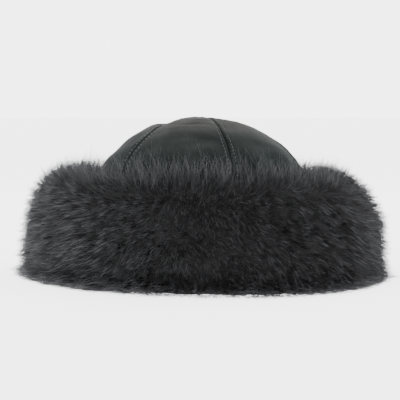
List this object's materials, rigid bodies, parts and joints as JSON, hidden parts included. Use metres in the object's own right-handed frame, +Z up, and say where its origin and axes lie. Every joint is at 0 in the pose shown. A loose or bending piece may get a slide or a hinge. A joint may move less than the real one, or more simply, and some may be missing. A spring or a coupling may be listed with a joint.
{
  "type": "fur hat",
  "caption": "Round winter hat with a domed crown of sewn suede gores inside a deep turned-up cuff of long dark fur.",
  "frame": {"origin": "on the surface the hat rests on, under the middle of its box", "axes": "+Z up through the crown; the wearer's forehead faces -Y and +X is on the right of a viewer who looks at the front"},
  "size_m": [0.3422, 0.3552, 0.1407],
  "materials": {
    "suede": "napped matt dark grey-green suede with a soft nap variation and pale topstitches along the seams",
    "fur": "long near-black dyed fur in fine overlapping locks, with a soft sheen and a few paler guard hairs"
  },
  "bodies": {
    "root": {"crown_gore_1": "suede", "crown_gore_2": "suede", "crown_gore_3": "suede", "crown_gore_4": "suede", "crown_gore_5": "suede", "crown_gore_6": "suede", "fur_cuff": "fur"}
  },
  "joints": []
}
